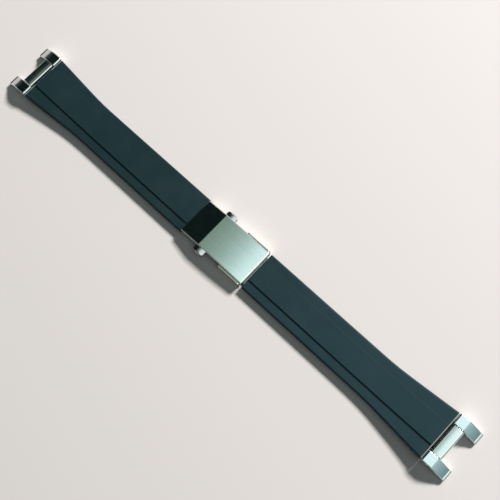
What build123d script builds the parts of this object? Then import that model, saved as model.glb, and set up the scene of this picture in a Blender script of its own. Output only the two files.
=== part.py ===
from build123d import *
import math
import os

# Rubber dive strap with a push-button folding clasp, laid out flat with its outside up.
# X runs along the strap (half A towards -X, half B towards +X), Y across it, +Z up.
# The origin is under the middle of the strap, at the height of the table it lies on.

# Lengths along the strap
link_length = 12.0
link_gap = 0.2
plate_thickness = 0.6
strap_a_length = 98.4
strap_b_length = 97.9
strap_a_gap = 0.35
strap_b_gap = 0.85
cover_length = 35.4

# Widths across the strap
end_width = 24.0
plate_width = 23.5
strap_width = 19.0
band_width = 10.2
cover_width = 17.8
block_width = 5.0

# Rubber halves: heights over the table, and the lengths over which they change
band_height = 4.0
band_step = 0.6
band_end_height = 6.2
rubber_tip_lift = 0.45
rubber_tip_run = 8.0
rubber_end_lift = 1.0
top_rise_run = 44.0
bottom_rise_run = 34.0
flare_arc_run = 12.0
flare_line_run = 22.8
flare_arc_growth_share = 0.21
rubber_nose_radius = 0.35
rubber_chin_radius = 1.9

# Tongues of the rubber and the bars through them
tongue_radius = 1.15
bar_radius = 0.65
bar_play = 0.05
bar_screw_radius = 0.4
bar_screw_reach = 4.0
screw_head_radius = 0.95
screw_head_depth = 0.5
screw_slot_width = 0.3
screw_slot_depth = 0.25
tongue_a_width = 14.8
tongue_a_relief = 0.2
bar_a_inset = 1.6
bar_a_height = 2.6
tongue_b_width = 10.8
bar_b_outset = 1.7
bar_b_height = 1.35
lip_reach = 0.6
lip_height = 1.7

# End plate, its moulded-in anchor and its hinge barrel
plate_foot_height = 1.1
plate_head_height = 5.8
plate_corner_radius = 0.4
plate_edge = 0.25
anchor_length = 9.0
anchor_width = 17.0
anchor_thickness = 1.3
anchor_hole_radius = 1.6
anchor_hole_spacing = 5.6
link_axis_out = 3.0
link_axis_height = 3.2
barrel_radius = 1.4
barrel_side_gap = 0.5
barrel_web_thickness = 1.1
link_pin_radius = 0.7
link_pin_play = 0.05
link_pin_recess = 0.25

# End link
block_top_height = 6.1
block_level_run = 4.5
block_tip_height = 2.5
block_foot_run = 1.4
block_heel_run = 0.5
block_heel_drop = 0.28
block_bulge = 0.2
block_edge = 0.25
bar_shell_bore = 1.58
bar_side_gap = 0.2
bar_cheek = 1.5
bar_back_out = 0.8
bar_back_height = 5.0
bar_shoulder_out = 1.4
bar_shoulder_height = 5.68
bar_crown_out = 3.1
bar_crown_height = 5.87
bar_brow_out = 4.9
bar_brow_height = 5.95
bar_front_out = 5.95
bar_front_height = 4.5
bar_foot_out = 5.05
bar_foot_height = 1.6
bar_open_angle = 35.0
case_bore_radius = 0.75
case_bore_out = 7.9
case_bore_height = 2.7

# Clasp cover, measured from its left end
cover_left_height = 4.75
cover_ridge_out = 10.5
cover_ridge_height = 6.3
cover_right_height = 5.2
cover_bow = 0.32
cover_top_thickness = 0.8
cover_wall = 1.0
cover_edge = 0.3
cover_wall_foot = 1.3
cover_wall_step_lead = 0.9
cover_wall_step_height = 1.95
cover_end_radius = 1.9
cover_nose_drop = 0.2
cover_nose_angle = 22.0
cover_heel = 0.6

# Hinges of the clasp
blade_axis_out = 4.6
blade_axis_height = 1.0
blade_knuckle_radius = 1.0
blade_pin_radius = 0.5
cover_axis_inset = 1.4
cover_axis_height = 3.58
cover_knuckle_radius = 0.9
cover_pin_radius = 0.45
pin_play = 0.05
knuckle_gap = 0.2
middle_knuckle_width = 7.0

# Blades
blade_thickness = 0.9
blade_gap = 0.3
blade_arch = 0.5
base_width = 15.0
base_right_out = 0.2
middle_side_gap = 0.3
crank_run = 6.2
crank_drop = 0.35
base_slot_inset = 8.6
base_slot_length = 11.0
base_slot_width = 5.2

# Ears of the base blade, outboard of the cover
ear_inset = 0.6
ear_length = 12.9
ear_gap = 0.35
ear_thickness = 0.55
ear_height = 4.3
ear_corner_radius = 0.9

# Lugs of the base blade that hold half B
lug_gap = 0.3
lug_width = 1.8
lug_radius = 1.3
lug_root_length = 5.0
roof_height = 3.05
roof_play = 0.35

# Buttons, claws and latch tabs
button_out = 11.8
button_height_at = 3.15
button_length = 5.8
button_height = 2.0
button_reach = 2.8
button_play = 0.06
button_travel = 0.8
button_flange = 0.45
button_flange_gap = 0.05
button_flange_depth = 0.4
button_end_round = 1.5
claw_thickness = 0.4
claw_width = 2.6
claw_roof_gap = 0.43
claw_arm_thickness = 0.45
claw_tooth_thickness = 0.6
claw_barb_reach = 0.4
claw_barb_height = 0.6
claw_barb_foot = 2.95
latch_gap = 0.1
tab_room = 0.65
tab_thickness = 0.6
tab_length = 3.6
tab_top_gap = 0.32
tab_window_length = 2.8
tab_window_play = 0.15
notch_play = 0.35
spring_radius = 0.7
spring_wire = 0.22
spring_block_width = 2.6
spring_block_length = 2.4
spring_block_foot = 3.2

# How far a cutting body runs past what it cuts
overrun = 1.0

# Places along the strap that follow from the lengths
end_run = link_length + link_gap
half_a_run = strap_a_gap + strap_a_length + plate_thickness + end_run
half_b_run = strap_b_gap + strap_b_length + plate_thickness + end_run
cover_left = half_a_run - (half_a_run + cover_length + half_b_run) / 2
half_a_start = cover_left - strap_a_gap
half_b_start = cover_left + cover_length + strap_b_gap

# Places along the clasp, from the cover's left end
cover_axis_out = cover_length - cover_axis_inset
crank_start = cover_axis_out - crank_run
ear_end = cover_length - ear_inset
ear_start = ear_end - ear_length
cover_wall_step = ear_start - cover_wall_step_lead
bar_b_out = cover_length + bar_b_outset

# Faces across the clasp, outermost first, as distances from the middle
cover_side = cover_width / 2
wall_inside = cover_side - cover_wall
flange_outside = wall_inside - button_flange_gap
claw_outside = flange_outside - button_flange_depth
claw_inside = claw_outside - claw_thickness
middle_side = claw_outside - button_travel - middle_side_gap
tab_outside = claw_inside - button_travel - tab_room
tab_inside = tab_outside - tab_thickness
tooth_outside = tab_inside - latch_gap - claw_barb_reach
tooth_inside = tooth_outside - claw_tooth_thickness
lug_inside = tongue_b_width / 2 + lug_gap
lug_outside = lug_inside + lug_width

# Faces across an end link, as distances from the middle
bar_side = end_width / 2 - block_width - bar_side_gap
cheek_inside = bar_side - bar_cheek
barrel_side = cheek_inside - barrel_side_gap

# Heights inside the cover, from its top down
claw_arm_top = cover_ridge_height - cover_top_thickness - claw_roof_gap
claw_arm_foot = claw_arm_top - claw_arm_thickness
tab_height = claw_arm_foot - tab_top_gap
spring_height = (claw_arm_foot + claw_barb_foot) / 2


def profile(*edges):
    """Face in the XZ plane from edges drawn in x and z."""
    return Plane.XZ * make_face(Wire(list(edges)))


def slab(face, low, high):
    """Solid between two values of Y from a face in the XZ plane."""
    return Pos(0, high, 0) * extrude(face, high - low, dir=(0, -1, 0))


def across(face, width):
    """Solid of the given width, centred on Y = 0, from a face in the XZ plane."""
    return slab(face, -width / 2, width / 2)


def rod(x, z, radius, low, high):
    """Round bar along Y."""
    return Pos(x, (low + high) / 2, z) * Rot(90, 0, 0) * Cylinder(radius, high - low)


def block(x_low, x_high, y_low, y_high, z_low, z_high):
    """Box between corners."""
    centre = Pos((x_low + x_high) / 2, (y_low + y_high) / 2, (z_low + z_high) / 2)
    return centre * Box(x_high - x_low, y_high - y_low, z_high - z_low)


def flipped(shape):
    """The same shape on the other side of Y = 0."""
    return mirror(shape, about=Plane.XZ)


def on_both_sides(shape):
    return shape + flipped(shape)


def place_a(shape):
    """From the frame of a half (x away from the clasp) to half A."""
    return Pos(half_a_start, 0, 0) * mirror(shape, about=Plane.YZ)


def place_b(shape):
    return Pos(half_b_start, 0, 0) * shape


def place_clasp(shape):
    return Pos(cover_left, 0, 0) * shape


# Rubber halves, in the frame of a half: x = 0 at the rubber's clasp end


def side_profile(length, lower):
    """Side view of the rubber, its top lowered by the given amount."""
    top = band_height - lower
    end_top = band_end_height - lower
    top_turn = (length - top_rise_run, top)
    foot_turn = (length - bottom_rise_run, 0)
    foot_start = (rubber_tip_run, 0)
    return profile(
        Line((0, rubber_tip_lift), foot_start),
        Line(foot_start, foot_turn),
        TangentArc(foot_turn, (length, rubber_end_lift), tangent=(1, 0)),
        Line((length, rubber_end_lift), (length, end_top)),
        TangentArc(top_turn, (length, end_top), tangent=(1, 0)),
        Line(top_turn, (0, top)),
        Line((0, top), (0, rubber_tip_lift)),
    )


def half_width_at_arc_end():
    growth = (plate_width - strap_width) / 2
    return strap_width / 2 + growth * flare_arc_growth_share


def plan_outline(length):
    """Plan of the rubber: parallel, a short arc, then straight to the end plate."""
    flare_start = length - flare_arc_run - flare_line_run
    arc_end = length - flare_line_run
    half = strap_width / 2
    half_arc = half_width_at_arc_end()
    half_end = plate_width / 2
    return make_face(Wire([
        Line((0, -half), (0, half)),
        Line((0, half), (flare_start, half)),
        TangentArc((flare_start, half), (arc_end, half_arc), tangent=(1, 0)),
        Line((arc_end, half_arc), (length, half_end)),
        Line((length, half_end), (length, -half_end)),
        Line((length, -half_end), (arc_end, -half_arc)),
        TangentArc((flare_start, -half), (arc_end, -half_arc), tangent=(1, 0)),
        Line((flare_start, -half), (0, -half)),
    ]))


def rubber_body(length):
    """Flared rubber with its raised centre band, without its clasp end."""
    plan = extrude(plan_outline(length), band_end_height)
    flange = across(side_profile(length, band_step), end_width) & plan
    band = across(side_profile(length, 0), band_width)
    return flange + band


def anchor_body(length):
    """Plate tongue moulded into the rubber, with holes the rubber fills."""
    low = link_axis_height - anchor_thickness / 2
    high = link_axis_height + anchor_thickness / 2
    start = length - anchor_length
    body = block(start, length, -anchor_width / 2, anchor_width / 2, low, high)
    body = fillet(body.edges().filter_by(Axis.Z).group_by(Axis.X)[0], anchor_hole_radius)
    for side in (-1, 0, 1):
        centre = Pos((start + length) / 2, side * anchor_hole_spacing, link_axis_height)
        body = body - centre * Cylinder(anchor_hole_radius, 2 * anchor_thickness)
    return body


def nose_cut(length, top):
    """What rounding the top edge at the clasp end takes away."""
    radius = rubber_nose_radius
    corner = block(-overrun, radius, -end_width / 2, end_width / 2, top - radius, top + overrun)
    return corner - rod(radius, top - radius, radius, -end_width, end_width)


def chin_cut():
    """What rounding the lower edge at the clasp end takes away."""
    radius = rubber_chin_radius
    rise = rubber_tip_lift
    corner = block(-overrun, radius, -end_width / 2, end_width / 2, -overrun, rise + radius)
    return corner - rod(radius, rise + radius, radius, -end_width, end_width)


def make_strap_half_a():
    length = strap_a_length
    axis = -(strap_a_gap + bar_a_inset)
    body = rubber_body(length) - chin_cut() - nose_cut(length, band_height)
    side = tongue_a_width / 2
    web_top = bar_a_height + tongue_radius - tongue_a_relief
    web = block(axis, rubber_chin_radius, -side, side, bar_a_height - tongue_radius, web_top)
    body = body + web + rod(axis, bar_a_height, tongue_radius, -side, side)
    body = body - rod(axis, bar_a_height, bar_radius + bar_play, -end_width, end_width)
    return body - anchor_body(length)


def make_strap_half_b():
    length = strap_b_length
    axis = bar_b_outset - strap_b_gap
    side = tongue_b_width / 2
    pocket_side = lug_outside + lug_gap
    pocket_end = axis + lug_radius + roof_play
    body = rubber_body(length) - nose_cut(length, band_height)
    lip = block(-lip_reach, axis, pocket_side, strap_width / 2, rubber_tip_lift, lip_height)
    body = body + on_both_sides(lip)
    pocket = block(-overrun, axis, side, pocket_side, -overrun, roof_height)
    pocket = pocket + rod(axis, bar_b_height, lug_radius + roof_play, side, pocket_side)
    body = body - on_both_sides(pocket)
    body = body - block(-overrun, axis, -side, side, -overrun, roof_height)
    body = body + rod(axis, bar_b_height, tongue_radius, -side, side)
    body = body + block(axis, pocket_end, -side, side, bar_b_height - tongue_radius, roof_height)
    body = body - rod(axis, bar_b_height, bar_radius + bar_play, -end_width, end_width)
    return body - anchor_body(length)


def make_end_plate(length):
    """Plate across the end of the rubber, anchor inside it, barrel of the link hinge outside."""
    face = Plane.YZ * Pos(0, (plate_foot_height + plate_head_height) / 2) * RectangleRounded(
        plate_width, plate_head_height - plate_foot_height, plate_corner_radius)
    plate = Pos(length, 0, 0) * extrude(face, plate_thickness, dir=(1, 0, 0))
    plate = fillet(plate.faces().filter_by(Axis.X).edges(), plate_edge)
    axis = length + plate_thickness + link_axis_out
    barrel = rod(axis, link_axis_height, barrel_radius, -barrel_side, barrel_side)
    web_side = barrel_web_thickness / 2
    web = block(length + plate_thickness / 2, axis, -barrel_side, barrel_side,
                link_axis_height - web_side, link_axis_height + web_side)
    bore = rod(axis, link_axis_height, link_pin_radius + link_pin_play, -end_width, end_width)
    return plate + anchor_body(length) + barrel + web - bore


# End links, in the frame of a link: x = 0 at the outer face of the end plate


def block_profile():
    """Side view of an outer block, from the end plate to its rounded tip on the table."""
    axis = (link_axis_out, link_axis_height)
    swing = link_axis_out - link_gap
    tip = link_gap + link_length
    level_end = (link_gap + block_level_run, block_top_height)
    nose = block_tip_height / 2
    tip_top = (tip - nose, block_tip_height)
    foot_end = (tip - nose, 0)
    foot_start = (tip - nose - block_foot_run, 0)
    knee_bottom = (axis[0], axis[1] - swing)
    diagonal = math.sqrt(2) / 2
    knee_middle = (axis[0] - swing * diagonal, axis[1] - swing * diagonal)
    knee_side = (link_gap, axis[1])
    heel_low = (link_gap, block_top_height - block_heel_drop)
    heel_top = (link_gap + block_heel_run, block_top_height)
    middle = [(first + last) / 2 + block_bulge for first, last in zip(level_end, tip_top)]
    return profile(
        Line(knee_side, heel_low),
        Line(heel_low, heel_top),
        Line(heel_top, level_end),
        ThreePointArc(level_end, tuple(middle), tip_top),
        ThreePointArc(tip_top, (tip, nose), foot_end),
        Line(foot_end, foot_start),
        Line(foot_start, knee_bottom),
        ThreePointArc(knee_bottom, knee_middle, knee_side),
    )


def make_link_block():
    """Outer block on the +Y side."""
    outer = end_width / 2
    body = slab(block_profile(), outer - block_width, outer)
    sides = body.faces().filter_by(Axis.Y)
    body = chamfer(sides.edges(), block_edge)
    body = body - rod(link_axis_out, link_axis_height, link_pin_radius, 0, end_width)
    return body - rod(case_bore_out, case_bore_height, case_bore_radius, 0, end_width)


def bar_profile():
    """Side view of the centre bar: crowned on top, open towards the end plate."""
    axis = (link_axis_out, link_axis_height)
    back = (bar_back_out, bar_back_height)
    shoulder = (bar_shoulder_out, bar_shoulder_height)
    brow = (bar_brow_out, bar_brow_height)
    front = (bar_front_out, bar_front_height)
    foot = (bar_foot_out, bar_foot_height)
    rise = (link_axis_out - bar_back_out) * math.tan(math.radians(bar_open_angle))
    mouth = (bar_back_out, link_axis_height + rise)
    crown = ThreePointArc(shoulder, (bar_crown_out, bar_crown_height), brow)
    face = TangentArc(brow, front, tangent=crown % 1)
    return profile(
        Line(axis, mouth),
        Line(mouth, back),
        TangentArc(shoulder, back, tangent=(crown % 0) * -1),
        crown,
        face,
        TangentArc(front, foot, tangent=face % 1),
        Line(foot, axis),
    )


def make_link_bar():
    """Centre bar: an open shell over the barrel, with a cheek on the pin at each end."""
    body = slab(bar_profile(), -bar_side, bar_side)
    body = body - rod(link_axis_out, link_axis_height, bar_shell_bore, -cheek_inside, cheek_inside)
    cheek = rod(link_axis_out, link_axis_height, bar_shell_bore, cheek_inside, bar_side)
    body = body + on_both_sides(cheek)
    return body - rod(link_axis_out, link_axis_height, link_pin_radius, -end_width, end_width)


def make_link_pin():
    half = end_width / 2 - link_pin_recess
    body = rod(link_axis_out, link_axis_height, link_pin_radius, -half, half)
    return chamfer(body.edges().filter_by(GeomType.CIRCLE), link_pin_recess / 2)


# Clasp, in the frame of the cover: x = 0 at its left end


def cover_top_edges(lower):
    """Ends, left slope and bowed right part of the cover's top, lowered by the given amount."""
    left = (0, cover_left_height - lower)
    ridge = (cover_ridge_out, cover_ridge_height - lower)
    right = (cover_length, cover_right_height - lower)
    middle = ((ridge[0] + right[0]) / 2, (ridge[1] + right[1]) / 2 + cover_bow)
    return left, right, [Line(left, ridge), ThreePointArc(ridge, middle, right)]


def cover_outside():
    left, right, top = cover_top_edges(0)
    corner_low = (cover_length, cover_wall_step_height + cover_end_radius)
    corner_foot = (cover_length - cover_end_radius, cover_wall_step_height)
    diagonal = 1 - math.sqrt(2) / 2
    corner_middle = (cover_length - cover_end_radius * diagonal,
                     cover_wall_step_height + cover_end_radius * diagonal)
    step_top = (cover_wall_step, cover_wall_step_height)
    step_foot = (cover_wall_step, cover_wall_foot)
    face = profile(
        *top,
        Line(right, corner_low),
        ThreePointArc(corner_low, corner_middle, corner_foot),
        Line(corner_foot, step_top),
        Line(step_top, step_foot),
        Line(step_foot, (cover_heel, cover_wall_foot)),
        Line((cover_heel, cover_wall_foot), (0, cover_wall_foot + cover_heel)),
        Line((0, cover_wall_foot + cover_heel), left),
    )
    return across(face, cover_width)


def cover_inside():
    """Space between the cover's side walls, under its top."""
    left, right, top = cover_top_edges(cover_top_thickness)
    face = profile(
        *top,
        Line(right, (cover_length, -overrun)),
        Line((cover_length, -overrun), (0, -overrun)),
        Line((0, -overrun), left),
    )
    lead = block(-overrun, 0, -wall_inside, wall_inside, -overrun, left[1])
    trail = block(cover_length, cover_length + overrun, -wall_inside, wall_inside, -overrun, right[1])
    return slab(face, -wall_inside, wall_inside) + lead + trail


def screw_seat(x, z, outer, inner):
    """Hole and sunk seat for a bar's screw in the -Y wall between two values of Y."""
    hole = rod(x, z, bar_screw_radius, outer - overrun, inner + overrun)
    return hole + rod(x, z, screw_head_radius, outer - overrun, outer + screw_head_depth)


def cover_nose_cut():
    """What the slanted facet along the top of the cover's right end takes away."""
    run = 2 * cover_nose_drop / math.tan(math.radians(cover_nose_angle))
    low = (cover_length, cover_right_height - cover_nose_drop)
    high = (cover_length - run, cover_right_height + cover_nose_drop)
    clear = (cover_length + run, cover_right_height + cover_nose_drop)
    return across(profile(Line(low, high), Line(high, clear), Line(clear, low)), end_width)


def make_clasp_cover():
    body = cover_outside() - cover_nose_cut()
    top_faces = [face for face in body.faces() if face.normal_at().Z > math.sqrt(2) / 2]
    rims = [edge for face in top_faces for edge in face.edges()
            if abs(edge.center().Y) > cover_side - cover_edge]
    body = chamfer(rims, cover_edge)
    body = body - cover_inside()
    body = body - on_both_sides(button_body(button_play, 0, end_width))
    body = body - rod(cover_axis_out, cover_axis_height, cover_pin_radius, -end_width, end_width)
    body = body - screw_seat(bar_a_inset, bar_a_height, -cover_side, -wall_inside)
    return body - rod(bar_a_inset, bar_a_height, bar_radius, 0, end_width)


def arch(x):
    """Height of the base blade's underside at a distance from the cover's left end."""
    first = blade_axis_out
    last = cover_length + base_right_out
    half_span = (last - first) / 2
    radius = (half_span ** 2 + blade_arch ** 2) / (2 * blade_arch)
    away = x - (first + last) / 2
    return blade_arch - radius + math.sqrt(radius ** 2 - away ** 2)


def blade_face(start, end, lift):
    """Arched strip of a blade in side view, lifted by the given amount."""
    middle = (start + end) / 2
    low = [(x, arch(x) + lift) for x in (start, middle, end)]
    high = [(x, z + blade_thickness) for x, z in low]
    return profile(
        ThreePointArc(*low),
        Line(low[2], high[2]),
        ThreePointArc(*high),
        Line(high[0], low[0]),
    )


def base_plate():
    """Arched plate of the base blade, wider under the ears, with a lightening slot."""
    body = across(blade_face(blade_axis_out, cover_length + base_right_out, 0), base_width)
    ear_outside = cover_side + ear_gap + ear_thickness
    body = body + slab(blade_face(ear_start, ear_end, 0), -ear_outside, ear_outside)
    middle = Pos(cover_length - base_slot_inset - base_slot_length / 2, 0, 0)
    slot = middle * extrude(SlotOverall(base_slot_length, base_slot_width), 2 * blade_thickness)
    return body - slot


def base_ear():
    """Ear on the +Y side, standing outboard of the cover."""
    foot = arch(ear_end)
    inner = cover_side + ear_gap
    ear = block(ear_start, ear_end, inner, inner + ear_thickness, foot, ear_height)
    upper = ear.edges().filter_by(Axis.Y).group_by(Axis.Z)[-1]
    return fillet(upper, ear_corner_radius)


def base_lug():
    """Lug on the +Y side that holds the bar of half B."""
    arm = block(bar_b_out - lug_root_length, bar_b_out, lug_inside, lug_outside,
                bar_b_height - lug_radius, blade_thickness)
    return arm + rod(bar_b_out, bar_b_height, lug_radius, lug_inside, lug_outside)


def latch_tab():
    """Upright tab with a window on the +Y side of the base blade."""
    first = button_out - tab_length / 2
    last = button_out + tab_length / 2
    tab = block(first, last, tab_inside, tab_outside, arch(first), tab_height)
    window_side = tab_window_length / 2
    window_foot = claw_barb_foot - tab_window_play
    window_top = claw_barb_foot + claw_barb_height + tab_window_play
    window = block(button_out - window_side, button_out + window_side,
                   tab_inside - overrun, tab_outside + overrun, window_foot, window_top)
    return tab - window


def make_base_blade():
    body = base_plate()
    centre_room = middle_knuckle_width / 2 + knuckle_gap
    reach = blade_knuckle_radius + blade_gap
    body = body - block(blade_axis_out - reach, blade_axis_out + reach, -centre_room, centre_room,
                        -overrun, blade_thickness + overrun)
    knuckle = rod(blade_axis_out, blade_axis_height, blade_knuckle_radius, centre_room, base_width / 2)
    body = body + on_both_sides(knuckle) + on_both_sides(base_ear())
    body = body + on_both_sides(base_lug()) + on_both_sides(latch_tab())
    body = body - rod(blade_axis_out, blade_axis_height, blade_pin_radius, -end_width, end_width)
    body = body - screw_seat(bar_b_out, bar_b_height, -lug_outside, -lug_inside)
    return body - rod(bar_b_out, bar_b_height, bar_radius, 0, end_width)


def crank_face():
    """Part of the middle blade that climbs to the cover's hinge."""
    start = (crank_start, arch(crank_start) + blade_thickness + blade_gap)
    end = (cover_axis_out, cover_axis_height - crank_drop)
    back = start[0] - blade_thickness
    return profile(
        Line((back, start[1]), start),
        Line(start, (end[0], end[1] - blade_thickness / 2)),
        Line((end[0], end[1] - blade_thickness / 2), (end[0], end[1] + blade_thickness / 2)),
        Line((end[0], end[1] + blade_thickness / 2), (start[0], start[1] + blade_thickness)),
        Line((start[0], start[1] + blade_thickness), (back, start[1] + blade_thickness)),
        Line((back, start[1] + blade_thickness), (back, start[1])),
    )


def latch_notch():
    """Room in the middle blade for the +Y latch tab while the blade swings up past it."""
    tab_end = button_out + tab_length / 2 - blade_axis_out
    sweep = math.hypot(tab_end, tab_height - blade_axis_height)
    return block(button_out - tab_length / 2 - notch_play, blade_axis_out + sweep + notch_play,
                 tab_inside - notch_play, end_width, -overrun, cover_ridge_height)


def make_middle_blade():
    lift = blade_thickness + blade_gap
    side_start = blade_axis_out + blade_knuckle_radius + blade_gap
    neck_face = blade_face(blade_axis_out, side_start + blade_thickness, lift)
    body = slab(blade_face(side_start, crank_start, lift), -middle_side, middle_side)
    body = body + across(neck_face, middle_knuckle_width)
    body = body + slab(crank_face(), -middle_side, middle_side)
    knuckle = middle_knuckle_width / 2
    body = body + rod(blade_axis_out, blade_axis_height, blade_knuckle_radius, -knuckle, knuckle)
    knuckle = wall_inside - knuckle_gap
    body = body + rod(cover_axis_out, cover_axis_height, cover_knuckle_radius, -knuckle, knuckle)
    body = body - on_both_sides(latch_notch())
    blade_bore = blade_pin_radius + pin_play
    body = body - rod(blade_axis_out, blade_axis_height, blade_bore, -end_width, end_width)
    cover_bore = cover_pin_radius + pin_play
    return body - rod(cover_axis_out, cover_axis_height, cover_bore, -end_width, end_width)


def make_blade_pin():
    return rod(blade_axis_out, blade_axis_height, blade_pin_radius, -base_width / 2, base_width / 2)


def make_cover_pin():
    return rod(cover_axis_out, cover_axis_height, cover_pin_radius, -cover_side, cover_side)


def button_body(grow, low, high):
    """Oval bar between two values of Y with a button's section, larger by the given amount."""
    oval = Plane.XZ * Ellipse(button_length / 2 + grow, button_height / 2 + grow)
    return Pos(button_out, 0, button_height_at) * slab(oval, low, high)


def button_end():
    """Space that a button's rounded outer end stays in, seen from above and from the side."""
    half = button_length / 2
    radius = button_height / 2
    tip = cover_side + button_reach
    first = button_out - half
    last = button_out + half
    foot = button_height_at - radius
    top = button_height_at + radius
    shoulder = tip - button_end_round
    plan = extrude(Ellipse(half, button_end_round), 2 * button_height)
    above = block(first, last, 0, shoulder, foot, top) + Pos(button_out, shoulder, foot - radius) * plan
    round_end = Pos(button_out, tip - radius, button_height_at) * Rot(0, 90, 0) * Cylinder(radius, 2 * half)
    return above & (block(first, last, 0, tip - radius, foot, top) + round_end)


def make_button():
    """Button on the +Y side: a rounded cap through the wall with a flange inside."""
    cap = button_body(0, flange_outside, cover_side + button_reach) & button_end()
    return cap + button_body(button_flange, claw_outside, flange_outside)


def make_latch_claw():
    """Claw on the +Y side: a plate behind the button, an arm over the tab and a tooth."""
    first = button_out - claw_width / 2
    last = button_out + claw_width / 2
    plate_foot = button_height_at - button_height / 2
    plate = block(first, last, claw_inside, claw_outside, plate_foot, claw_arm_top)
    arm = block(first, last, tooth_inside, claw_outside, claw_arm_foot, claw_arm_top)
    tooth = block(first, last, tooth_inside, tooth_outside, claw_barb_foot, claw_arm_top)
    barb = block(first, last, tooth_outside, tooth_outside + claw_barb_reach,
                 claw_barb_foot, claw_barb_foot + claw_barb_height)
    return plate + arm + tooth + barb


def make_button_spring():
    """Sleeve of the compression spring on the +Y side, as large as its coil."""
    body = rod(button_out, spring_height, spring_radius, spring_block_width / 2, tooth_inside)
    return body - rod(button_out, spring_height, spring_radius - spring_wire, 0, end_width)


def make_spring_block():
    """Block under the cover's top that both springs push against."""
    half = spring_block_length / 2
    body = block(button_out - half, button_out + half, -spring_block_width / 2, spring_block_width / 2,
                 spring_block_foot, cover_ridge_height)
    return body & cover_inside()


def make_bar(x, z, low, high):
    """Bar along Y with a blind hole for its screw at the -Y end."""
    body = rod(x, z, bar_radius, low, high)
    return body - rod(x, z, bar_screw_radius, low, low + bar_screw_reach)


def make_bar_screw(x, z, side_y, bar_low):
    """Screw that enters the bar from the -Y side, its slotted head sunk in the wall."""
    head = rod(x, z, screw_head_radius, side_y, side_y + screw_head_depth)
    shank = rod(x, z, bar_screw_radius, side_y, bar_low + bar_screw_reach)
    slot = block(x - screw_head_radius, x + screw_head_radius, side_y, side_y + screw_slot_depth,
                 z - screw_slot_width / 2, z + screw_slot_width / 2)
    return head + shank - slot


def save(name, shape):
    export_step(shape, os.path.join("parts", name + ".step"))


def save_link(suffix, plate_face, place):
    """The four pieces of an end link, standing out from the plate's face."""
    def settle(shape):
        return place(Pos(plate_face, 0, 0) * shape)

    upper = make_link_block()
    save("link_block_" + suffix + "_far", settle(upper))
    save("link_block_" + suffix + "_near", settle(flipped(upper)))
    save("link_bar_" + suffix, settle(make_link_bar()))
    save("link_pin_" + suffix, settle(make_link_pin()))


def save_clasp():
    save("clasp_cover", place_clasp(make_clasp_cover()))
    save("middle_blade", place_clasp(make_middle_blade()))
    save("base_blade", place_clasp(make_base_blade()))
    save("blade_hinge_pin", place_clasp(make_blade_pin()))
    save("cover_hinge_pin", place_clasp(make_cover_pin()))
    save("spring_block", place_clasp(make_spring_block()))
    for side, turn in (("far", lambda shape: shape), ("near", flipped)):
        save("button_" + side, place_clasp(turn(make_button())))
        save("latch_claw_" + side, place_clasp(turn(make_latch_claw())))
        save("button_spring_" + side, place_clasp(turn(make_button_spring())))


def save_bars():
    places = {
        "a": (bar_a_inset, bar_a_height, cover_side, wall_inside),
        "b": (bar_b_out, bar_b_height, lug_outside, lug_inside),
    }
    for suffix, (x, z, outer, inner) in places.items():
        save("strap_bar_" + suffix, place_clasp(make_bar(x, z, -inner, outer)))
        screw = make_bar_screw(x, z, -outer, -inner)
        save("strap_bar_" + suffix + "_screw", place_clasp(screw))


os.makedirs("parts", exist_ok=True)
save("strap_half_a", place_a(make_strap_half_a()))
save("strap_half_b", place_b(make_strap_half_b()))
save("end_plate_a", place_a(make_end_plate(strap_a_length)))
save("end_plate_b", place_b(make_end_plate(strap_b_length)))
save_link("a", strap_a_length + plate_thickness, place_a)
save_link("b", strap_b_length + plate_thickness, place_b)
save_clasp()
save_bars()
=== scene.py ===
import bmesh
import bpy
import math
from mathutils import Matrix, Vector


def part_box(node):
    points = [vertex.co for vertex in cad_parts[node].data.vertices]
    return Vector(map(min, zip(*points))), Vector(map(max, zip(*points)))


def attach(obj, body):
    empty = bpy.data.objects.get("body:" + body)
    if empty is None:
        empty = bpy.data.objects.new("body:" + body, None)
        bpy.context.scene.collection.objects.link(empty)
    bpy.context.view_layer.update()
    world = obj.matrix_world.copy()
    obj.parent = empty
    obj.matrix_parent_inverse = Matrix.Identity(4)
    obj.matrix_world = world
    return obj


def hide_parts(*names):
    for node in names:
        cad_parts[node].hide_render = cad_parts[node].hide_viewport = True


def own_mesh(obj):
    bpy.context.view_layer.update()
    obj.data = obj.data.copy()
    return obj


# Rubber dive strap with its folding clasp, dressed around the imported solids.
# X runs along the strap, Y across it and +Z out of its outer side. Lengths are in metres.

MM = 0.001

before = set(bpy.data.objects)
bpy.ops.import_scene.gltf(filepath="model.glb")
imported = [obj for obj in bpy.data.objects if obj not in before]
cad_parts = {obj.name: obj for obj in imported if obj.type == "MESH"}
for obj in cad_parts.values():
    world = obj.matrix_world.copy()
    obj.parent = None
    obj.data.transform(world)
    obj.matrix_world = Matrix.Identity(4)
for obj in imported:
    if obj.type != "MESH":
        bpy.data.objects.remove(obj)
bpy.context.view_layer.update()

# Sizes of the rubber halves, as in the part's source
HALF_A_LENGTH = 98.4 * MM
HALF_B_LENGTH = 97.9 * MM
BAND_HEIGHT = 4.0 * MM
BAND_STEP = 0.6 * MM
BAND_HALF = 5.1 * MM
STRAP_HALF = 9.5 * MM
PLATE_HALF = 11.75 * MM
END_TOP_RISE = 2.2 * MM
END_FOOT_RISE = 1.0 * MM
TOP_RISE_RUN = 44.0 * MM
FOOT_RISE_RUN = 34.0 * MM
TIP_LIFT = 0.45 * MM
TIP_RUN = 8.0 * MM
FLARE_ARC_RUN = 12.0 * MM
FLARE_LINE_RUN = 22.8 * MM
FLARE_ARC_SHARE = 0.21

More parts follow.
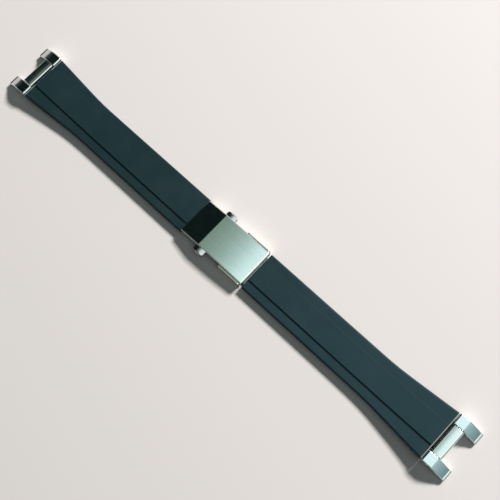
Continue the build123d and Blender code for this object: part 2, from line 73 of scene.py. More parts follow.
# Rounded edges of the rubber, and how far half B's nose comes towards the cover
NOSE_A_RADIUS = 0.35 * MM
NOSE_B_RADIUS = 0.55 * MM
NOSE_B_REACH = 0.13 * MM
TOP_EDGE_RADIUS = 0.7 * MM
FOOT_EDGE_RADIUS = 0.5 * MM
BAND_EDGE_RADIUS = 0.12 * MM
CHIN_RADIUS = 1.9 * MM

# Clasp ends of the rubber: tongues with bores for their bars, and on half B a room under a roof,
# pockets for the base blade's lugs and lips beside them
TONGUE_RADIUS = 1.15 * MM
BAR_BORE = 0.7 * MM
TONGUE_A_X = -1.95 * MM
TONGUE_A_HEIGHT = 2.6 * MM
TONGUE_A_HALF = 7.4 * MM
WEB_DROP = 0.2 * MM
TONGUE_B_X = NOSE_B_REACH + 0.85 * MM
TONGUE_B_HEIGHT = 1.35 * MM
TONGUE_B_HALF = 5.4 * MM
ROOF_HEIGHT = 3.05 * MM
POCKET_HALF = 7.8 * MM
POCKET_RADIUS = 1.65 * MM
LIP_START = NOSE_B_REACH - 0.6 * MM
LIP_TOP = 1.7 * MM
LIP_INSET = 0.3 * MM
LIP_OVERLAP = 0.2 * MM


# Hand work on meshes

ROD_SIDES = 32
DOUBLES = 0.002 * MM
SMOOTH_ANGLE = math.radians(32)


def add_box(name, low, high):
    """Box between two corners, its place in its mesh."""
    bpy.ops.object.select_all(action="DESELECT")
    middle = [(a + b) / 2 for a, b in zip(low, high)]
    bpy.ops.mesh.primitive_cube_add(size=1, location=middle)
    return settled(name, [b - a for a, b in zip(low, high)])


def add_rod(name, x, z, radius, low, high, sides=ROD_SIDES):
    """Round bar along Y between two values of Y."""
    bpy.ops.object.select_all(action="DESELECT")
    bpy.ops.mesh.primitive_cylinder_add(
        vertices=sides, radius=radius, depth=high - low,
        location=(x, (low + high) / 2, z), rotation=(math.pi / 2, 0, 0))
    return settled(name)


def settled(name, scale=(1, 1, 1)):
    """The object just added, named, scaled and with its place in its mesh."""
    piece = bpy.context.active_object
    piece.name = name
    piece.data.name = name
    piece.scale = scale
    bpy.ops.object.transform_apply(location=True, rotation=True, scale=True)
    return piece


def select_only(piece):
    """Makes one piece the active one and the only one selected."""
    bpy.ops.object.select_all(action="DESELECT")
    bpy.context.view_layer.objects.active = piece
    piece.select_set(True)


def open_mesh(piece):
    """Edit mode on one piece, with nothing selected."""
    select_only(piece)
    bpy.ops.object.mode_set(mode="EDIT")
    bpy.ops.mesh.select_all(action="DESELECT")


def close_mesh():
    bpy.ops.object.mode_set(mode="OBJECT")


def pick(piece, kind, test):
    """Selects the points, edges or faces that the test accepts."""
    bpy.ops.mesh.select_mode(type=kind)
    bpy.ops.mesh.select_all(action="DESELECT")
    mesh = bmesh.from_edit_mesh(piece.data)
    parts = {"VERT": mesh.verts, "EDGE": mesh.edges, "FACE": mesh.faces}[kind]
    for part in parts:
        if test(part):
            part.select = True
    mesh.select_flush_mode()
    bmesh.update_edit_mesh(piece.data)


def slice_at(place, normal):
    """Cuts new edges through the open mesh where a plane meets it."""
    bpy.ops.mesh.select_all(action="SELECT")
    bpy.ops.mesh.bisect(plane_co=place, plane_no=normal)


def move_points(piece, test, value):
    pick(piece, "VERT", lambda point: test(point.co))
    bpy.ops.transform.translate(value=value)


def combine(piece, other, operation):
    """Joins the other piece to this one, or cuts it away."""
    select_only(piece)
    step = piece.modifiers.new("work", "BOOLEAN")
    step.operation = operation
    step.solver = "EXACT"
    step.object = other
    bpy.ops.object.modifier_apply(modifier=step.name)
    bpy.data.objects.remove(other)


def tidy_mesh(piece):
    """Merges doubles, turns every face outwards and smooths all but the sharp edges."""
    open_mesh(piece)
    bpy.ops.mesh.select_all(action="SELECT")
    bpy.ops.mesh.remove_doubles(threshold=DOUBLES)
    bpy.ops.mesh.normals_make_consistent(inside=False)
    close_mesh()
    bpy.ops.object.shade_smooth_by_angle(angle=SMOOTH_ANGLE)
    even = piece.modifiers.new("even shading", "WEIGHTED_NORMAL")
    even.keep_sharp = True
    bpy.ops.object.modifier_apply(modifier=even.name)


def paint(piece, material):
    piece.data.materials.clear()
    piece.data.materials.append(material)


# Rubber halves, modelled with x = 0 at the clasp end and then put in their place

FLAT_SPACING = 12.0 * MM
CURVE_SPACING = 2.0 * MM
SAME_PLACE = 0.01 * MM
NEAR_PLACE = 0.05 * MM
LENGTHWISE_RUN = 0.1 * MM
UPWARD = 0.9
CHIN_SIDES = 64
CUT_REACH = 40.0 * MM
APART = 0.05 * MM


def arc_rise(run, span, rise):
    """Height of an arc that starts level and climbs by the rise over the span."""
    if run <= 0:
        return 0
    radius = (span ** 2 + rise ** 2) / (2 * rise)
    return radius - math.sqrt(radius ** 2 - run ** 2)


def half_width(x, length):
    run = x - (length - FLARE_ARC_RUN - FLARE_LINE_RUN)
    arc_growth = (PLATE_HALF - STRAP_HALF) * FLARE_ARC_SHARE
    if run <= FLARE_ARC_RUN:
        return STRAP_HALF + arc_rise(run, FLARE_ARC_RUN, arc_growth)
    share = (run - FLARE_ARC_RUN) / FLARE_LINE_RUN
    return STRAP_HALF + arc_growth + (PLATE_HALF - STRAP_HALF - arc_growth) * share


def top_rise(x, length):
    return arc_rise(x - (length - TOP_RISE_RUN), TOP_RISE_RUN, END_TOP_RISE)


def foot_rise(x, length):
    if x < TIP_RUN:
        return TIP_LIFT * (1 - x / TIP_RUN)
    return arc_rise(x - (length - FOOT_RISE_RUN), FOOT_RISE_RUN, END_FOOT_RISE)


def stations(length):
    """Places along a half at which its section is set."""
    start = length - TOP_RISE_RUN
    count = round((start - TIP_RUN) / FLAT_SPACING)
    level = [TIP_RUN + (start - TIP_RUN) * step / count for step in range(count + 1)]
    count = round(TOP_RISE_RUN / CURVE_SPACING)
    curved = [start + TOP_RISE_RUN * step / count for step in range(1, count)]
    return level + curved


def rubber_bar(name, length):
    """Flared rubber with its raised band, without its clasp end."""
    flange_top = BAND_HEIGHT - BAND_STEP
    piece = add_box(name, (0, -STRAP_HALF, 0), (length, STRAP_HALF, flange_top))
    open_mesh(piece)
    cuts = stations(length)
    for x in cuts:
        slice_at((x, 0, 0), (1, 0, 0))
    for side in (-1, 1):
        slice_at((0, side * BAND_HALF, 0), (0, 1, 0))
    pick(piece, "FACE",
         lambda face: face.normal.z > UPWARD and abs(face.calc_center_median().y) < BAND_HALF)
    bpy.ops.mesh.extrude_region_move(TRANSFORM_OT_translate={"value": (0, 0, BAND_STEP)})
    shape_sections(piece, [0] + cuts + [length], length)
    round_rubber(piece, length)
    close_mesh()
    return piece


def shape_sections(piece, places, length):
    """Lifts the top and the foot and widens the outside at each place along the half."""
    middle = BAND_HEIGHT / 2
    for x in places:
        top = top_rise(x, length)
        foot = foot_rise(x, length)
        grow = half_width(x, length) / STRAP_HALF
        if grow > 1:
            pick(piece, "VERT",
                 lambda p: abs(p.co.x - x) < SAME_PLACE and abs(p.co.y) > BAND_HALF + SAME_PLACE)
            bpy.ops.transform.resize(value=(1, grow, 1), center_override=(x, 0, 0))
        if foot > 0:
            move_points(piece, lambda p: abs(p.x - x) < SAME_PLACE and p.z < middle, (0, 0, foot))
        if top > 0:
            move_points(piece, lambda p: abs(p.x - x) < SAME_PLACE and p.z > middle, (0, 0, top))


def round_rubber(piece, length):
    """Rounds the long edges of the rubber: outer top, outer foot and the band's shoulders."""
    middle = BAND_HEIGHT / 2
    outside = STRAP_HALF - NEAR_PLACE

    def round_along(test, radius, segments):
        pick(piece, "EDGE", lambda edge: (abs(edge.verts[0].co.x - edge.verts[1].co.x) > LENGTHWISE_RUN
                                          and all(test(point.co) for point in edge.verts)))
        bpy.ops.mesh.bevel(offset=radius, segments=segments, profile=0.5, affect="EDGES")

    def shoulder(p):
        height = BAND_HEIGHT + top_rise(p.x, length)
        return abs(abs(p.y) - BAND_HALF) < SAME_PLACE and abs(p.z - height) < NEAR_PLACE

    round_along(lambda p: abs(p.y) > outside and p.z > middle, TOP_EDGE_RADIUS, segments=5)
    round_along(lambda p: abs(p.y) > outside and p.z < middle, FOOT_EDGE_RADIUS, segments=4)
    round_along(shoulder, BAND_EDGE_RADIUS, segments=2)


def round_clasp_end(piece, radius, chin):
    """Rounds the top edge of the clasp end and, on half A, its lower edge."""
    wide = CUT_REACH
    corner = add_box("corner", (-wide, -wide, BAND_HEIGHT - radius), (radius, wide, BAND_HEIGHT + wide))
    combine(corner, add_rod("round", radius, BAND_HEIGHT - radius, radius, -wide, wide), "DIFFERENCE")
    combine(piece, corner, "DIFFERENCE")
    if chin:
        height = TIP_LIFT + CHIN_RADIUS
        corner = add_box("corner", (-wide, -wide, -wide), (CHIN_RADIUS, wide, height))
        combine(corner, add_rod("round", CHIN_RADIUS, height, CHIN_RADIUS, -wide, wide, CHIN_SIDES),
                "DIFFERENCE")
        combine(piece, corner, "DIFFERENCE")


def add_tongue(piece, x, height, half):
    """Round tongue with the bore for its bar."""
    combine(piece, add_rod("tongue", x, height, TONGUE_RADIUS, -half, half), "UNION")
    combine(piece, add_rod("bore", x, height, BAR_BORE, -CUT_REACH, CUT_REACH), "DIFFERENCE")


def tongue_a(piece):
    """Tongue of half A round its bar, on a web under the cover's end."""
    half = TONGUE_A_HALF
    web = add_box("web", (TONGUE_A_X, -half, TONGUE_A_HEIGHT - TONGUE_RADIUS),
                  (CHIN_RADIUS, half, TONGUE_A_HEIGHT + TONGUE_RADIUS - WEB_DROP))
    combine(piece, web, "UNION")
    add_tongue(piece, TONGUE_A_X, TONGUE_A_HEIGHT, half)


def tongue_b(piece):
    """Tongue of half B between the pockets for the base blade's lugs."""
    for turn in (-1, 1):
        near, far = sorted((turn * (POCKET_HALF - LIP_OVERLAP), turn * (STRAP_HALF - LIP_INSET)))
        lip = add_box("lip", (LIP_START, near, TIP_LIFT + APART), (TONGUE_B_X, far, LIP_TOP))
        combine(piece, lip, "UNION")
    room = add_box("room", (-CUT_REACH, -POCKET_HALF, -CUT_REACH),
                   (TONGUE_B_X + APART, POCKET_HALF, ROOF_HEIGHT))
    combine(piece, room, "DIFFERENCE")
    for turn in (-1, 1):
        near, far = sorted((turn * (TONGUE_B_HALF + APART), turn * (POCKET_HALF - APART)))
        pocket = add_rod("pocket", TONGUE_B_X, TONGUE_B_HEIGHT, POCKET_RADIUS, near, far)
        combine(piece, pocket, "DIFFERENCE")
    add_tongue(piece, TONGUE_B_X, TONGUE_B_HEIGHT, TONGUE_B_HALF)


def put_half(piece, start, turned):
    """Moves a half from its own frame to its place, turned end for end for half A."""
    select_only(piece)
    piece.scale.x = -1 if turned else 1
    piece.location.x = start
    bpy.ops.object.transform_apply(location=True, rotation=True, scale=True)
    tidy_mesh(piece)


def make_rubber_halves():
    half_a = rubber_bar("rubber_half_a", HALF_A_LENGTH)
    round_clasp_end(half_a, NOSE_A_RADIUS, True)
    tongue_a(half_a)
    put_half(half_a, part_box("strap_half_a")[0].x + HALF_A_LENGTH, True)
    length = HALF_B_LENGTH + NOSE_B_REACH
    half_b = rubber_bar("rubber_half_b", length)
    round_clasp_end(half_b, NOSE_B_RADIUS, False)
    tongue_b(half_b)
    put_half(half_b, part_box("strap_half_b")[1].x - length, False)
    return half_a, half_b


# Button springs

SPRING_WIRE_RADIUS = 0.11 * MM
SPRING_WIRE_SIDES = 10
SPRING_END_GAP = 0.02 * MM
SPRING_TURNS = 5
SPRING_STEPS = 24


def make_coil(name, low, high):
    """Coil spring between two corners of its room, wound along Y."""
    bpy.ops.object.select_all(action="DESELECT")
    reach = (high.z - low.z) / 2 - SPRING_WIRE_RADIUS
    bpy.ops.mesh.primitive_circle_add(
        vertices=SPRING_WIRE_SIDES, radius=SPRING_WIRE_RADIUS,
        location=(reach, 0, 0), rotation=(math.pi / 2, 0, 0))
    coil = settled(name)
    ends = SPRING_WIRE_RADIUS + SPRING_END_GAP
    winding = coil.modifiers.new("winding", "SCREW")
    winding.iterations = SPRING_TURNS
    winding.screw_offset = (high.y - low.y - 2 * ends) / SPRING_TURNS
    winding.steps = winding.render_steps = SPRING_STEPS
    bpy.ops.object.modifier_apply(modifier=winding.name)
    open_mesh(coil)
    bpy.ops.mesh.select_all(action="SELECT")
    bpy.ops.mesh.fill_holes(sides=0)
    close_mesh()
    coil.rotation_euler.x = -math.pi / 2
    coil.location = ((low.x + high.x) / 2, low.y + ends, (low.z + high.z) / 2)
    bpy.ops.object.transform_apply(location=True, rotation=True, scale=True)
    tidy_mesh(coil)
    return coil


def make_springs():
    """Coils in the rooms of the button springs, carried with the cover; the real springs shorten towards
    the block in the middle as their button goes in.
    """
    wire = steel("spring wire", TURNED_LINES, TURNED_DEPTH, PIN_STEEL, roughness=0.25)
    for side in ("near", "far"):
        node = "button_spring_" + side
        low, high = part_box(node)
        coil = make_coil("button_coil_" + side, low, high)
        paint(coil, wire)
        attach(coil, "cover")
        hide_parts(node)
        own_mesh(coil)


# Material nodes and the effects that several materials share

# Streaks are wider than lines; an edge is where the rounded normal leans away from the plain one
STREAK_SCALE = 0.22
EDGE_FROM, EDGE_FULL = 0.98, 0.82
EDGE_RADIUS = 0.15 * MM

# Marks and specks are the peaks of two clouds, with many specks to the size of one mark
MARKS_FROM, MARKS_FULL = 0.35, 0.7
SPECKS_FROM, SPECKS_FULL = 0.72, 0.8
SPECKS_TO_MARK = 28.0
STEEL_MARKS = 8.0 * MM
RUBBER_MARKS = 14.0 * MM


def add_node(tree, kind, **settings):
    node = tree.nodes.new(kind)
    for name, value in settings.items():
        setattr(node, name, value)
    return node


def feed(tree, source, target):
    """Links an output to an input, or sets the input to a plain value."""
    if isinstance(source, bpy.types.NodeSocket):
        tree.links.new(source, target)
    else:
        target.default_value = source


def calculate(tree, operation, first, second=0.0, third=0.0):
    node = add_node(tree, "ShaderNodeMath", operation=operation)
    for source, target in zip((first, second, third), node.inputs):
        feed(tree, source, target)
    return node.outputs[0]


def noise(tree, vector, scale, detail, roughness):
    node = add_node(tree, "ShaderNodeTexNoise")
    feed(tree, vector, node.inputs["Vector"])
    feed(tree, scale, node.inputs["Scale"])
    node.inputs["Detail"].default_value = detail
    node.inputs["Roughness"].default_value = roughness
    return node.outputs["Fac"]


def spread(tree, value, from_low, from_high, to_low=0.0, to_high=1.0):
    """Soft step of a value from one range to another."""
    node = add_node(tree, "ShaderNodeMapRange", interpolation_type="SMOOTHSTEP")
    feed(tree, value, node.inputs["Value"])
    for name, number in zip(("From Min", "From Max", "To Min", "To Max"),
                            (from_low, from_high, to_low, to_high)):
        feed(tree, number, node.inputs[name])
    return node.outputs["Result"]


def parts_of(tree, vector):
    """X, Y and Z outputs of a vector."""
    node = add_node(tree, "ShaderNodeSeparateXYZ")
    feed(tree, vector, node.inputs[0])
    return node.outputs


def own_place(tree):
    return add_node(tree, "ShaderNodeTexCoord").outputs["Object"]


def blend_colours(tree, factor, first, second):
    """Blend of two colours, which a mix node takes on inputs 6 and 7 and gives on output 2."""
    node = add_node(tree, "ShaderNodeMix", data_type="RGBA")
    feed(tree, factor, node.inputs["Factor"])
    feed(tree, first, node.inputs[6])
    feed(tree, second, node.inputs[7])
    return node.outputs[2]


def bump(tree, height, depth, normal=None):
    node = add_node(tree, "ShaderNodeBump")
    feed(tree, height, node.inputs["Height"])
    node.inputs["Strength"].default_value = 1.0
    node.inputs["Distance"].default_value = depth
    if normal is not None:
        feed(tree, normal, node.inputs["Normal"])
    return node.outputs["Normal"]


def new_group(name, inputs, outputs):
    """Shader node group with named sockets; inputs come with their default values."""
    group = bpy.data.node_groups.new(name, "ShaderNodeTree")
    for title, kind, value in inputs:
        socket = group.interface.new_socket(name=title, in_out="INPUT", socket_type=kind)
        socket.default_value = value
    for title, kind in outputs:
        group.interface.new_socket(name=title, in_out="OUTPUT", socket_type=kind)
    return group, group.nodes.new("NodeGroupInput"), group.nodes.new("NodeGroupOutput")


def brushed_lines_group():
    """Fine lines of a brushed finish: a height and a streaky mask."""
    group, given, result = new_group(
        "brushed lines",
        [("Line Scale", "NodeSocketVector", LENGTHWISE_LINES)],
        [("Height", "NodeSocketFloat"), ("Streaks", "NodeSocketFloat")])
    stretched = add_node(group, "ShaderNodeVectorMath", operation="MULTIPLY")
    feed(group, own_place(group), stretched.inputs[0])
    feed(group, given.outputs["Line Scale"], stretched.inputs[1])
    lines = noise(group, stretched.outputs[0], scale=1.0, detail=4.0, roughness=0.6)
    streaks = noise(group, stretched.outputs[0], scale=STREAK_SCALE, detail=3.0, roughness=0.65)
    feed(group, lines, result.inputs["Height"])
    feed(group, streaks, result.inputs["Streaks"])
    return group


def soft_edges_group():
    """Rounded normal near edges, and a mask of the edges, which the steels polish a little and paint
    lighter as a painted highlight.
    """
    group, given, result = new_group(
        "soft edges",
        [("Radius", "NodeSocketFloat", EDGE_RADIUS)],
        [("Normal", "NodeSocketVector"), ("Edge", "NodeSocketFloat")])
    rounded = add_node(group, "ShaderNodeBevel", samples=6)
    feed(group, given.outputs["Radius"], rounded.inputs["Radius"])
    plain = add_node(group, "ShaderNodeNewGeometry").outputs["Normal"]
    turn = add_node(group, "ShaderNodeVectorMath", operation="DOT_PRODUCT")
    feed(group, rounded.outputs["Normal"], turn.inputs[0])
    feed(group, plain, turn.inputs[1])
    feed(group, rounded.outputs["Normal"], result.inputs["Normal"])
    feed(group, spread(group, turn.outputs["Value"], EDGE_FROM, EDGE_FULL), result.inputs["Edge"])
    return group


def smudges_group():
    """Large soft marks of handling, and fine specks of dust."""
    group, given, result = new_group(
        "smudges",
        [("Size", "NodeSocketFloat", STEEL_MARKS)],
        [("Marks", "NodeSocketFloat"), ("Specks", "NodeSocketFloat")])
    place = own_place(group)
    scale = calculate(group, "DIVIDE", 1.0, given.outputs["Size"])
    cloud = noise(group, place, scale, detail=5.0, roughness=0.6)
    feed(group, spread(group, cloud, MARKS_FROM, MARKS_FULL), result.inputs["Marks"])
    fine_scale = calculate(group, "MULTIPLY", scale, SPECKS_TO_MARK)
    fine = noise(group, place, fine_scale, detail=2.0, roughness=0.5)
    feed(group, spread(group, fine, SPECKS_FROM, SPECKS_FULL), result.inputs["Specks"])
    return group


def place_group(tree, group, **values):
    """Places a group and gives the outputs; an underscore in a value's name stands for a space."""
    node = add_node(tree, "ShaderNodeGroup", node_tree=group)
    for name, value in values.items():
        feed(tree, value, node.inputs[name.replace("_", " ")])
    return node.outputs


def new_material(name):
    material = bpy.data.materials.new(name)
    material.use_nodes = True
    tree = material.node_tree
    return material, tree, tree.nodes["Principled BSDF"]


# Steel

# Lines or grains to the metre along X, Y and Z, and their depth
LENGTHWISE_LINES = (260.0, 7000.0, 7000.0)
CROSSWISE_LINES = (6000.0, 400.0, 6000.0)
TURNED_LINES = (5000.0, 9000.0, 5000.0)
BLASTED_GRAIN = (2600.0, 2600.0, 2600.0)
POLISHED_GRAIN = (1500.0, 1500.0, 1500.0)
FINE_DEPTH = 0.0003 * MM
TURNED_DEPTH = 0.0005 * MM
BLASTED_DEPTH = 0.003 * MM

# Tones of streaks and edges, the lighter edge tone being a painted highlight, and what streaks, marks and
# edges do to the roughness
STREAK_TONE_SHARE = 0.86
EDGE_HIGHLIGHT_SHARE = 1.18
STREAKS_FROM, STREAKS_FULL = 0.3, 0.7
STREAK_ROUGHNESS_SHARE = 0.12
MARK_ROUGHNESS = 0.03
EDGE_POLISH_SHARE = 0.3

COVER_STEEL = (0.71, 0.74, 0.72, 1.0)
BLOCK_STEEL = (0.70, 0.74, 0.73, 1.0)
BAR_STEEL = (0.71, 0.73, 0.71, 1.0)
# Painted shade: the end plates' steel is darkened for their recessed tops
PLATE_PAINTED_SHADE = (0.30, 0.31, 0.30, 1.0)
# Painted shade: the blades' dark tone; painted reflection: the ears' warm tone
BLADE_PAINTED_SHADE = (0.30, 0.31, 0.30, 1.0)
EAR_PAINTED_REFLECTION = (0.80, 0.73, 0.66, 1.0)
# Painted shade: near black for the end plates' hinges
HINGE_PAINTED_SHADE = (0.03, 0.03, 0.03, 1.0)
BUTTON_STEEL = (0.55, 0.55, 0.53, 1.0)
PIN_STEEL = (0.62, 0.62, 0.60, 1.0)

# Where the base blade's ears and the end plates' hinges begin, from the middle planes. Inside the ears the
# blades' dark tone is painted shade, the ears' warm tone is a painted reflection, and the hinges' near
# black is painted shade.
EARS_FROM, EARS_FULL = 9.0 * MM, 9.1 * MM
HINGES_FROM, HINGES_FULL = 117.07 * MM, 117.12 * MM
EAR_ROUGHNESS = 0.2
HINGE_ROUGHNESS = 0.6


def beyond(tree, axis, start, end):
    """Mask that is 0 up to the first distance from the middle plane and 1 past the second."""
    distance = calculate(tree, "ABSOLUTE", parts_of(tree, own_place(tree))[axis])
    return spread(tree, distance, start, end)


def shade(colour, share):
    """Darker or brighter tone of a colour."""
    return tuple(min(1.0, part * share) for part in colour[:3]) + (1.0,)


def steel(name, line_scale, line_depth, colour, roughness, outer=None, edge=EDGE_RADIUS):
    """Steel with a brushed, turned or blasted finish, polished a little along its edges and painted
    lighter there as a painted highlight.

    The outer finish is an axis, two distances from the middle, a colour and a roughness; the outer colour
    is a painted reflection on the ears and painted shade on the hinges.
    """
    material, tree, shader = new_material(name)
    lines = place_group(tree, GROUPS["lines"], Line_Scale=line_scale)
    edges = place_group(tree, GROUPS["edges"], Radius=edge)
    marks = place_group(tree, GROUPS["marks"], Size=STEEL_MARKS)
    tone = blend_colours(tree, lines["Streaks"], shade(colour, STREAK_TONE_SHARE), colour)
    # Painted highlight: a lighter colour along the edges
    tone = blend_colours(tree, edges["Edge"], tone, shade(colour, EDGE_HIGHLIGHT_SHARE))
    smoothest = roughness * (1 - STREAK_ROUGHNESS_SHARE)
    roughest = roughness * (1 + STREAK_ROUGHNESS_SHARE)
    rough = spread(tree, lines["Streaks"], STREAKS_FROM, STREAKS_FULL, smoothest, roughest)
    rough = calculate(tree, "MULTIPLY_ADD", marks["Marks"], MARK_ROUGHNESS, rough)
    rough = calculate(tree, "MULTIPLY_ADD", edges["Edge"], -EDGE_POLISH_SHARE * roughness, rough)
    if outer is not None:
        axis, start, end, outer_colour, outer_roughness = outer
        mask = beyond(tree, axis, start, end)
        tone = blend_colours(tree, mask, tone, outer_colour)
        rough = spread(tree, mask, 0.0, 1.0, rough, outer_roughness)
    shader.inputs["Metallic"].default_value = 1.0
    feed(tree, tone, shader.inputs["Base Color"])
    feed(tree, rough, shader.inputs["Roughness"])
    feed(tree, bump(tree, lines["Height"], line_depth, edges["Normal"]), shader.inputs["Normal"])
    return material


def dress(nodes, material):
    for name in nodes:
        for material_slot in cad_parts[name].material_slots:
            material_slot.material = material


def dress_steel():
    brushed = steel("steel brushed along", LENGTHWISE_LINES, FINE_DEPTH, COVER_STEEL,
                    roughness=0.11, edge=0.3 * MM)
    dress(["clasp_cover"], brushed)
    blocks = steel("steel of the link blocks", LENGTHWISE_LINES, FINE_DEPTH, BLOCK_STEEL,
                   roughness=0.12, edge=0.45 * MM)
    dress(["link_block_a_near", "link_block_a_far", "link_block_b_near", "link_block_b_far"], blocks)
    # Painted reflection on the ears, and painted shade on the blades inside them
    ears = ("Y", EARS_FROM, EARS_FULL, EAR_PAINTED_REFLECTION, EAR_ROUGHNESS)
    blasted = steel("steel blasted with painted shade", BLASTED_GRAIN, BLASTED_DEPTH, BLADE_PAINTED_SHADE, roughness=0.42, outer=ears)
    dress(["base_blade", "middle_blade", "spring_block"], blasted)
    satin = steel("steel satin across", CROSSWISE_LINES, FINE_DEPTH, BAR_STEEL, roughness=0.14)
    dress(["link_bar_a", "link_bar_b"], satin)
    # Painted shade: the plates turn near black beyond their tops, over the hinges
    hinges = ("X", HINGES_FROM, HINGES_FULL, HINGE_PAINTED_SHADE, HINGE_ROUGHNESS)
    plates = steel("steel of the end plates with painted shade", CROSSWISE_LINES, FINE_DEPTH, PLATE_PAINTED_SHADE,
                   roughness=0.45, outer=hinges)
    dress(["end_plate_a", "end_plate_b"], plates)
    polished = steel("steel polished", POLISHED_GRAIN, FINE_DEPTH, BUTTON_STEEL, roughness=0.18)
    dress(["button_near", "button_far", "latch_claw_near", "latch_claw_far"], polished)
    turned = steel("steel turned", TURNED_LINES, TURNED_DEPTH, PIN_STEEL, roughness=0.2)
    dress(["blade_hinge_pin", "cover_hinge_pin", "link_pin_a", "link_pin_b", "strap_bar_a",
           "strap_bar_a_screw", "strap_bar_b", "strap_bar_b_screw"], turned)


# Rubber

# Its clean and its dusty tone, each from the -X half to the +X half, and the change between them. The +X
# half is painted lighter than the -X half as a painted sheen.
CLEAN_TONES_PAINTED_LIT = ((0.0056, 0.0182, 0.0225, 1.0), (0.0074, 0.0262, 0.0330, 1.0))
DUSTY_TONES_PAINTED_LIT = ((0.0076, 0.0212, 0.0255, 1.0), (0.0094, 0.0292, 0.0365, 1.0))
PAINTED_LIGHT_FROM, PAINTED_LIGHT_FULL = -50.0 * MM, 100.0 * MM
SPECK_TONE = (0.03, 0.045, 0.05, 1.0)
SPECK_SHARE = 0.25
RUBBER_ROUGHNESS = (0.48, 0.56)
RUBBER_SHINE = 0.15
RUBBER_GRAIN = 4200.0
RUBBER_GRAIN_DEPTH = 0.004 * MM


def rubber():
    """Satin black rubber with a fine moulded grain, a little dust and a painted sheen that lightens its
    colour towards +X.
    """
    material, tree, shader = new_material("satin black rubber with painted sheen")
    marks = place_group(tree, GROUPS["marks"], Size=RUBBER_MARKS)
    place = own_place(tree)
    # Painted sheen: the colour gets lighter from the -X half to the +X half
    along = spread(tree, parts_of(tree, place)["X"], PAINTED_LIGHT_FROM, PAINTED_LIGHT_FULL)
    clean = blend_colours(tree, along, *CLEAN_TONES_PAINTED_LIT)
    dusty = blend_colours(tree, along, *DUSTY_TONES_PAINTED_LIT)
    tone = blend_colours(tree, marks["Marks"], clean, dusty)
    specks = calculate(tree, "MULTIPLY", marks["Specks"], SPECK_SHARE)
    feed(tree, blend_colours(tree, specks, tone, SPECK_TONE), shader.inputs["Base Color"])
    feed(tree, spread(tree, marks["Marks"], 0.0, 1.0, *RUBBER_ROUGHNESS), shader.inputs["Roughness"])
    grain = noise(tree, place, RUBBER_GRAIN, detail=2.0, roughness=0.5)
    feed(tree, bump(tree, grain, RUBBER_GRAIN_DEPTH), shader.inputs["Normal"])
    shader.inputs["Specular IOR Level"].default_value = RUBBER_SHINE
    return material


def dress_rubber(half_a, half_b):
    skin = rubber()
    for half, body, node in ((half_a, "strap_a", "strap_half_a"), (half_b, "strap_b", "strap_half_b")):
        paint(half, skin)
        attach(half, body)
        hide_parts(node)


# Floor, light and camera

FLOOR_SIZE = 6.0
FLOOR_COLOUR = (0.55, 0.525, 0.515, 1.0)
FLOOR_ROUGHNESS = 0.85
FLOOR_SHINE = 0.2

# Colours of the sky by its lean towards +X, in degrees from straight up
SKY_BANDS = (
    (-90, (0.03, 0.035, 0.035)), (-60, (0.005, 0.008, 0.008)), (-22, (0.001, 0.007, 0.006)),
    (-19, (0.17, 0.24, 0.205)), (-14, (0.232, 0.327, 0.284)), (-11, (0.30, 0.413, 0.378)),
    (-8, (0.413, 0.56, 0.542)), (-5, (0.60, 0.80, 0.80)), (-2, (0.84, 0.99, 0.98)),
    (5, (0.68, 0.90, 0.92)), (13, (0.95, 1.0, 1.0)), (42, (0.95, 1.0, 1.0)),
    (52, (0.30, 0.43, 0.45)), (74, (0.185, 0.29, 0.30)), (90, (0.14, 0.20, 0.18)))
SKY_STRENGTH = 1.45
MATT_SKY_DROP = 0.85

# Grey room at both sides and window at +Y, by the Y and Z of a direction
ROOM = (0.11, 0.12, 0.115, 1.0)
ROOM_FROM, ROOM_FULL = 0.30, 0.48
WINDOW = (1.0, 1.0, 1.0, 1.0)
WINDOW_FROM, WINDOW_FULL = 0.7, 0.85
WINDOW_TOP, WINDOW_ABOVE = 0.30, 0.42

KEY_PLACE = (0.28, 1.48, 1.16)
KEY_SIZE = (0.44, 0.32)
KEY_POWER = 73.0
KEY_COLOUR = (1.0, 0.98, 0.95)

FOCAL_PIXELS = 800
PICTURE_PIXELS = 500
SENSOR_WIDTH = 36.0
CAMERA_PLACE = (94.1552 * MM, -46.4387 * MM, 327.4106 * MM)
CAMERA_TURN = (0.2844, 0.0789, 0.7614)


def make_floor():
    bpy.ops.object.select_all(action="DESELECT")
    bpy.ops.mesh.primitive_plane_add(size=FLOOR_SIZE, location=(0, 0, 0))
    floor = settled("floor")
    material, tree, shader = new_material("pale floor")
    shader.inputs["Base Color"].default_value = FLOOR_COLOUR
    shader.inputs["Roughness"].default_value = FLOOR_ROUGHNESS
    shader.inputs["Specular IOR Level"].default_value = FLOOR_SHINE
    floor.data.materials.append(material)


def set_stops(ramp, stops):
    """Gives a colour ramp its stops, from low to high."""
    while len(ramp.elements) < len(stops):
        ramp.elements.new(1.0)
    for element, (position, colour) in zip(ramp.elements, stops):
        element.position = position
        element.color = colour + (1.0,)


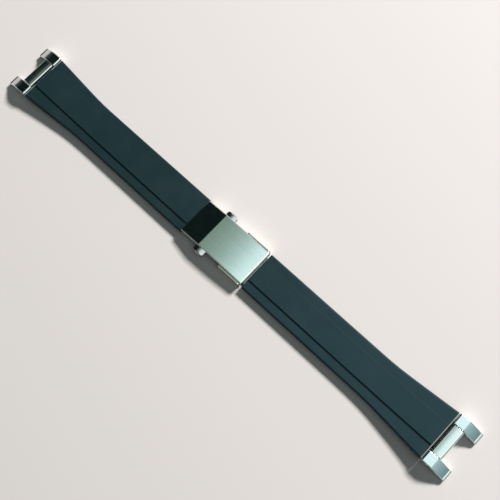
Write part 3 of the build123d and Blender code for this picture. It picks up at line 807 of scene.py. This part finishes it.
def make_sky():
    """Wide soft panel overhead with a dark -X side, a grey room round it and a window at +Y.

    It lights matt surfaces less than it shows in the steel, so that the lamp's shadows stay dark.
    """
    world = bpy.data.worlds.new("studio")
    bpy.context.scene.world = world
    world.use_nodes = True
    tree = world.node_tree
    parts = parts_of(tree, add_node(tree, "ShaderNodeTexCoord").outputs["Generated"])
    # The colour ramp runs from 0 at a lean of -90 degrees to 1 at 90 degrees
    lean = calculate(tree, "ARCTAN2", parts["X"], parts["Z"])
    bands = add_node(tree, "ShaderNodeValToRGB")
    feed(tree, calculate(tree, "MULTIPLY_ADD", lean, 1 / math.pi, 0.5), bands.inputs["Fac"])
    set_stops(bands.color_ramp, [(angle / 180 + 0.5, colour) for angle, colour in SKY_BANDS])
    side = calculate(tree, "ABSOLUTE", parts["Y"])
    inside = spread(tree, side, ROOM_FROM, ROOM_FULL, 1.0, 0.0)
    room = blend_colours(tree, inside, ROOM, bands.outputs["Color"])
    window = calculate(tree, "MULTIPLY", spread(tree, parts["Y"], WINDOW_FROM, WINDOW_FULL),
                       spread(tree, parts["Z"], WINDOW_TOP, WINDOW_ABOVE, 1.0, 0.0))
    background = tree.nodes["Background"]
    feed(tree, blend_colours(tree, window, room, WINDOW), background.inputs["Color"])
    matt = add_node(tree, "ShaderNodeLightPath").outputs["Is Diffuse Ray"]
    strength = calculate(tree, "MULTIPLY_ADD", matt, -MATT_SKY_DROP, SKY_STRENGTH)
    feed(tree, strength, background.inputs["Strength"])


def make_key():
    """Soft lamp that faces the middle of the strap."""
    data = bpy.data.lights.new("key", "AREA")
    data.shape = "RECTANGLE"
    data.size, data.size_y = KEY_SIZE
    data.energy = KEY_POWER
    data.color = KEY_COLOUR
    lamp = bpy.data.objects.new("key", data)
    bpy.context.scene.collection.objects.link(lamp)
    lamp.location = KEY_PLACE
    lamp.rotation_euler = (-Vector(KEY_PLACE)).to_track_quat("-Z", "Y").to_euler()


def make_camera():
    data = bpy.data.cameras.new("camera")
    data.sensor_width = SENSOR_WIDTH
    data.lens = SENSOR_WIDTH * FOCAL_PIXELS / PICTURE_PIXELS
    camera = bpy.data.objects.new("camera", data)
    bpy.context.scene.collection.objects.link(camera)
    camera.location = CAMERA_PLACE
    camera.rotation_euler = CAMERA_TURN
    bpy.context.scene.camera = camera


GROUPS = {"lines": brushed_lines_group(), "edges": soft_edges_group(), "marks": smudges_group()}

dress_steel()
dress_rubber(*make_rubber_halves())
make_springs()

make_floor()
make_sky()
make_key()
make_camera()
bpy.context.scene.view_settings.view_transform = "Standard"
